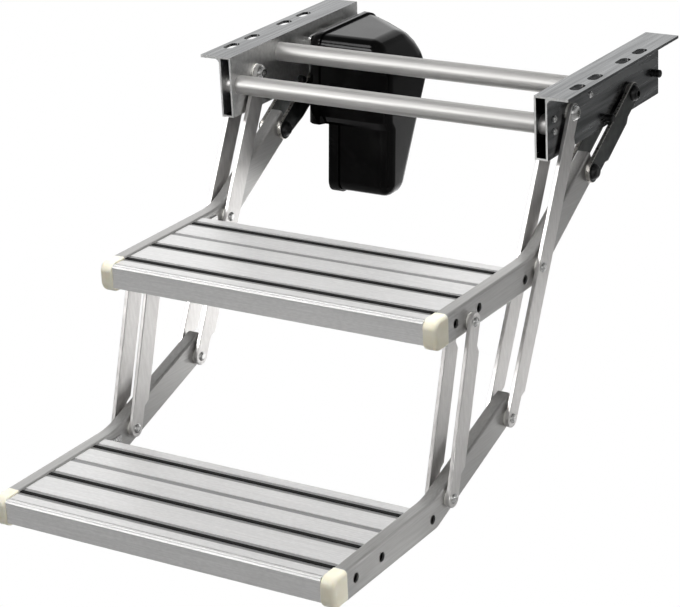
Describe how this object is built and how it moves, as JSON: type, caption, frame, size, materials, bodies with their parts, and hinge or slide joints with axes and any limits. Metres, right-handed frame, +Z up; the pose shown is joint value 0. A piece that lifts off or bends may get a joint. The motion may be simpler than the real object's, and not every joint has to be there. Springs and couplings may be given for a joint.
{
  "type": "caravan entry step",
  "caption": "Electric folding entry step for a caravan: ribbed aluminium treads on bent side arms, hung from slotted floor rails by link plates and driven by a covered gear motor.",
  "frame": {"origin": "centre of the slot pattern in the two floor flanges, on their top face", "axes": "+X out of the vehicle, towards someone stepping up; +Z up, against the vehicle's floor; +Y to the right of someone who faces the step"},
  "size_m": [0.81, 0.508, 0.423],
  "materials": {
    "rail_metal": "mill finish",
    "tube_metal": "satin anodised",
    "link_metal": "satin",
    "arm_metal": "satin anodised",
    "tread_metal": "satin, finely ribbed",
    "lock_steel": "dark coated steel",
    "fastener_steel": "zinc plated",
    "dark_steel": "blackened",
    "grip_rubber": "matt",
    "cap_plastic": "cream, satin",
    "cover_plastic": "glossy black",
    "washer_plastic": "natural nylon",
    "case_metal": "die cast",
    "motor_steel": "black paint"
  },
  "bodies": {
    "frame": {"left_rail": "rail_metal", "right_rail": "rail_metal", "front_cross_tube": "tube_metal", "rear_cross_tube": "tube_metal", "tube_end_plugs": "tube_metal", "tube_screws": "fastener_steel", "rail_pivot_bolts": "fastener_steel", "right_lock_bolt": "dark_steel", "lock_stop_pins": "dark_steel", "fold_stop_pins": "dark_steel", "motor_cover": "cover_plastic", "motor_bracket": "fastener_steel", "motor_standoffs": "fastener_steel", "motor_mount_bolts": "fastener_steel", "gearbox_case": "case_metal", "motor_can": "motor_steel"},
    "long_links": {"left_outer_long_link": "link_metal", "left_inner_long_link": "link_metal", "right_outer_long_link": "link_metal", "right_inner_long_link": "link_metal", "upper_pivot_rivets": "fastener_steel", "lower_pivot_rivets": "fastener_steel", "long_link_washers": "washer_plastic"},
    "short_links": {"left_outer_short_link": "link_metal", "left_inner_short_link": "link_metal", "right_outer_short_link": "link_metal", "right_inner_short_link": "link_metal", "short_link_top_rivets": "fastener_steel", "short_link_foot_rivets": "fastener_steel", "short_link_washers": "washer_plastic"},
    "lock_links": {"left_outer_lock_link": "lock_steel", "drive_crank": "lock_steel", "right_outer_lock_link": "lock_steel", "right_inner_lock_link": "lock_steel", "output_shaft": "dark_steel", "lock_foot_bolts": "dark_steel", "lock_link_washers": "washer_plastic"},
    "upper_step": {"upper_tread_board": "tread_metal", "upper_grip_strips": "grip_rubber", "upper_board_clips": "fastener_steel", "upper_arm_screws": "dark_steel", "upper_left_arm": "arm_metal", "upper_right_arm": "arm_metal", "upper_left_cap": "cap_plastic", "upper_right_cap": "cap_plastic"},
    "lower_step": {"lower_tread_board": "tread_metal", "lower_grip_strips": "grip_rubber", "lower_board_clips": "fastener_steel", "lower_arm_screws": "dark_steel", "lower_left_arm": "arm_metal", "lower_right_arm": "arm_metal", "lower_left_cap": "cap_plastic", "lower_right_cap": "cap_plastic"}
  },
  "joints": [
    {"name": "fold", "type": "hinge", "parent": "frame", "child": "long_links", "pos_m": [0.0775, 0, -0.033], "axis": [0, 1, 0], "range_deg": [0, 79]},
    {"name": "upper_step_pivot", "type": "hinge", "parent": "long_links", "child": "upper_step", "pos_m": [0.1625, 0, -0.196], "axis": [0, 1, 0], "range_deg": [-85, 0]},
    {"name": "lower_step_pivot", "type": "hinge", "parent": "long_links", "child": "lower_step", "pos_m": [0.245, 0, -0.354], "axis": [0, 1, 0], "range_deg": [-93, 0]},
    {"name": "short_link_pivot", "type": "hinge", "parent": "upper_step", "child": "short_links", "pos_m": [0.326, 0, -0.205], "axis": [0, 1, 0], "range_deg": [0, 75]},
    {"name": "lock_link_pivot", "type": "hinge", "parent": "frame", "child": "lock_links", "pos_m": [-0.0815, 0, -0.0525], "axis": [0, 1, 0], "range_deg": [0, 134.5]}
  ],
  "couplings": [
    {"joint": "upper_step_pivot", "follows": "fold", "ratio": -1.0716},
    {"joint": "lower_step_pivot", "follows": "fold", "ratio": -1.174},
    {"joint": "short_link_pivot", "follows": "fold", "ratio": 0.9454},
    {"joint": "lock_link_pivot", "follows": "fold", "ratio": 1.7012}
  ]
}
